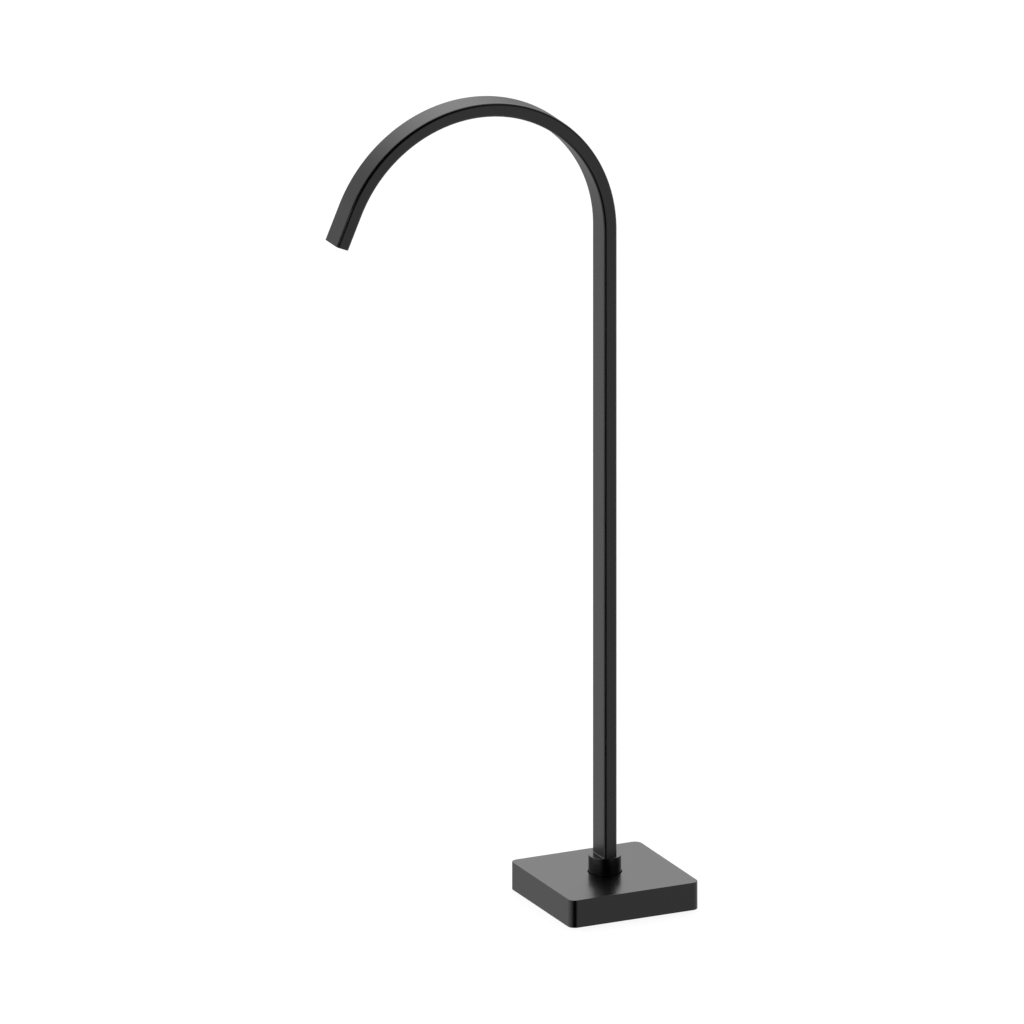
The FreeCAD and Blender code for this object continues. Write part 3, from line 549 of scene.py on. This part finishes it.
for a in quarter:
    cover_ring(at_inset(RIM_EASE * (1 - math.sin(a))), RIM_EASE * (1 - math.cos(a)))
for z in (2 * RIM_EASE, *SIDE_HEIGHTS, COVER_HEIGHT - EDGE - STRIP):
    cover_ring(whole, z)
for a in quarter:
    cover_ring(at_inset(EDGE * (1 - math.cos(a))), COVER_HEIGHT - EDGE * (1 - math.sin(a)))
cover_ring(at_inset(EDGE + STRIP), COVER_HEIGHT)
top_edge, hole_edge = at_inset(TOP_BORDER), directions * (COVER_HOLE + HOLE_BORDER)
for share in np.linspace(0.0, 1.0, TOP_RINGS):
    cover_ring(top_edge + share * (hole_edge - top_edge), COVER_HEIGHT)
cover_ring(directions * (COVER_HOLE + HOLE_EASE + HOLE_STRIP), COVER_HEIGHT)
for a in quarter:
    eased = HOLE_EASE * (1 - math.cos(a))
    cover_ring(directions * (COVER_HOLE + HOLE_EASE * (1 - math.sin(a))), COVER_HEIGHT - eased)
under = COVER_HEIGHT - COVER_WALL
cover_ring(directions * COVER_HOLE, under + HOLE_EASE + HOLE_STRIP)
for a in quarter:
    eased = HOLE_EASE * (1 - math.cos(a))
    cover_ring(directions * (COVER_HOLE + eased), under + HOLE_EASE * (1 - math.sin(a)))
cover_ring(directions * (COVER_HOLE + UNDER_BORDER), under)
cover_ring(at_inset(COVER_WALL + HOLE_BORDER), under)
for a in quarter:
    rounded = INNER_ROUND * (1 - math.sin(a))
    cover_ring(at_inset(COVER_WALL + rounded), under - INNER_ROUND * (1 - math.cos(a)))
cover_ring(at_inset(COVER_WALL), under - 2 * INNER_ROUND)
cover_ring(at_inset(COVER_WALL), 2 * RIM_EASE)
for a in quarter:
    rim = COVER_WALL - RIM_EASE * (1 - math.cos(a))
    cover_ring(at_inset(rim), RIM_EASE * (1 - math.sin(a)))
skin_piece("coated_cover_plate", np.stack(rows), black_coat, "cover", ["cover_plate"])

# ---------------------------------------------------------------------------------------------
# Studio: a pale floor that keeps a soft shadow, in a room of white walls. Each light or dark thing in
# the room is a patch of directions with a soft edge: a large lamp high at the back left, a low window
# at the front, a grey curtain on the left, and dark patches behind the camera, below it and at the
# back right.
# ---------------------------------------------------------------------------------------------

FLOOR_REACH, FLOOR_DROP = 6.0, 0.0002
FLOOR_GREY, FLOOR_GLOW, SHADOW_KEPT = 0.82, 1.14, 0.2
WHITE = (1.0, 1.0, 1.0, 1.0)
# A WAY is in degrees, round from the front and up. An EDGE is the two cosines of the angle from that
# way between which the patch fades in. Against UPWARDS they are sines of the angle above the horizon.
UPWARDS = (0.0, 90.0)
WALL_LIGHT = 0.98
LAMP_GAIN, LAMP_WAY, LAMP_EDGE = 2.36, (-124.7, 56.3), (0.527, 1.111)
DARK_WAY, DARK_EDGE = (49.5, 31.7), (0.124, 0.716)
BACK_DARK_WAY, BACK_DARK_EDGE = (155.9, 29.1), (0.565, 1.163)
LOW_DARK_WAY, LOW_DARK_EDGE = (60.2, -32.3), (0.796, 0.934)
WINDOW_GAIN, WINDOW_WAY, WINDOW_EDGE = 4.99, (-0.2, 0.0), (0.583, 0.919)
WINDOW_SILL, WINDOW_HEAD = (-0.322, -0.026), (0.036, 0.222)
CURTAIN_SHARE, CURTAIN_WAY, CURTAIN_EDGE = 0.612, (-99.7, -9.1), (0.744, 0.954)

floor_paint, floor = new_finish("pale_floor")
path = floor.node("LightPath", {}, {}, out="Is Camera Ray")
path = path + floor.node("LightPath", {}, {}, out="Is Transmission Ray")
dull = floor.node("BsdfDiffuse", {}, {"Color": (FLOOR_GREY, FLOOR_GREY, FLOOR_GREY, 1.0)})
glow = floor.node("Emission", {}, {"Color": WHITE, "Strength": FLOOR_GLOW})
lit = floor.node("MixShader", {}, {0: path * (1 - SHADOW_KEPT), 1: dull, 2: glow})
floor.node("OutputMaterial", {}, {"Surface": lit})
floor_mesh = bpy.data.meshes.new("studio_floor")
floor_corners = [(-1, -1), (1, -1), (1, 1), (-1, 1)]
floor_points = [(x * FLOOR_REACH, y * FLOOR_REACH, -FLOOR_DROP) for x, y in floor_corners]
floor_mesh.from_pydata(floor_points, [], [(0, 1, 2, 3)])
floor_mesh.materials.append(floor_paint)
studio_floor = bpy.data.objects.new("studio_floor", floor_mesh)
bpy.context.scene.collection.objects.link(studio_floor)
studio_floor.visible_glossy = False

world = bpy.data.worlds.new("soft_studio")
bpy.context.scene.world = world
world.use_nodes = True
world.node_tree.nodes.clear()
room = Wire(world.node_tree)
seen = room.node("LightPath", {}, {}, out="Is Camera Ray")
seen = seen + room.node("LightPath", {}, {}, out="Is Transmission Ray")
mirrored = room.node("LightPath", {}, {}, out="Is Glossy Ray")
direction = room.node("TexCoord", {}, {}, out="Generated")


def facing_share(way, edge):
    """1 near that way and 0 far from it: the dot product of the way's unit vector and the direction
    looked in, taken smoothly from 0 to 1 between the edge's two values."""
    turn, rise = math.radians(way[0]), math.radians(way[1])
    arrow = (math.sin(turn) * math.cos(rise), -math.cos(turn) * math.cos(rise), math.sin(rise))
    near = room.node("VectorMath", {"operation": "DOT_PRODUCT"}, {0: direction, 1: arrow}, out="Value")
    span = {"Value": near, "From Min": edge[0], "From Max": edge[1]}
    return room.node("MapRange", {"interpolation_type": "SMOOTHSTEP"}, span)


# The walls are a little brighter in mirror reflections than as light on the coat.
walls = WALL_LIGHT + (1 - WALL_LIGHT) * mirrored + LAMP_GAIN * facing_share(LAMP_WAY, LAMP_EDGE)
walls = walls * (1 - facing_share(DARK_WAY, DARK_EDGE))
walls = walls * (1 - facing_share(BACK_DARK_WAY, BACK_DARK_EDGE))
walls = walls * (1 - CURTAIN_SHARE * facing_share(CURTAIN_WAY, CURTAIN_EDGE))
window = facing_share(UPWARDS, WINDOW_SILL) * (1 - facing_share(UPWARDS, WINDOW_HEAD))
window = WINDOW_GAIN * facing_share(WINDOW_WAY, WINDOW_EDGE) * window
light = (walls + window) * (1 - facing_share(LOW_DARK_WAY, LOW_DARK_EDGE))
strength = light * (1 - seen) + seen
backdrop = room.node("Background", {}, {"Color": WHITE, "Strength": strength})
room.node("OutputWorld", {}, {"Surface": backdrop})

# ---------------------------------------------------------------------------------------------
# Camera: a long lens from the front right and a little above, drawn without perspective.
# ---------------------------------------------------------------------------------------------

AZIMUTH, ELEVATION = math.radians(64.457), math.radians(18.634)
PICTURE, PIXEL = 1024, 0.0010356
# Where the riser's axis meets the floor in the picture, in pixels from its top left.
AXIS_AT = (604.8, 898.47)
CAMERA_BACK, FARTHEST = 5.0, 20.0

camera_data = bpy.data.cameras.new("camera")
camera_data.type = "ORTHO"
camera_data.ortho_scale = PICTURE * PIXEL
camera_data.clip_end = FARTHEST
camera = bpy.data.objects.new("camera", camera_data)
bpy.context.scene.collection.objects.link(camera)
back = Vector((
    math.sin(AZIMUTH) * math.cos(ELEVATION),
    -math.cos(AZIMUTH) * math.cos(ELEVATION),
    math.sin(ELEVATION),
))
facing = (-back).to_track_quat("-Z", "Y")
camera.rotation_mode = "QUATERNION"
camera.rotation_quaternion = facing
to_right, upwards = facing @ Vector((1, 0, 0)), facing @ Vector((0, 1, 0))
shift_right, shift_up = (PICTURE / 2 - AXIS_AT[0]) * PIXEL, (AXIS_AT[1] - PICTURE / 2) * PIXEL
camera.location = back * CAMERA_BACK + to_right * shift_right + upwards * shift_up
bpy.context.scene.camera = camera
bpy.context.scene.view_settings.view_transform = "Standard"
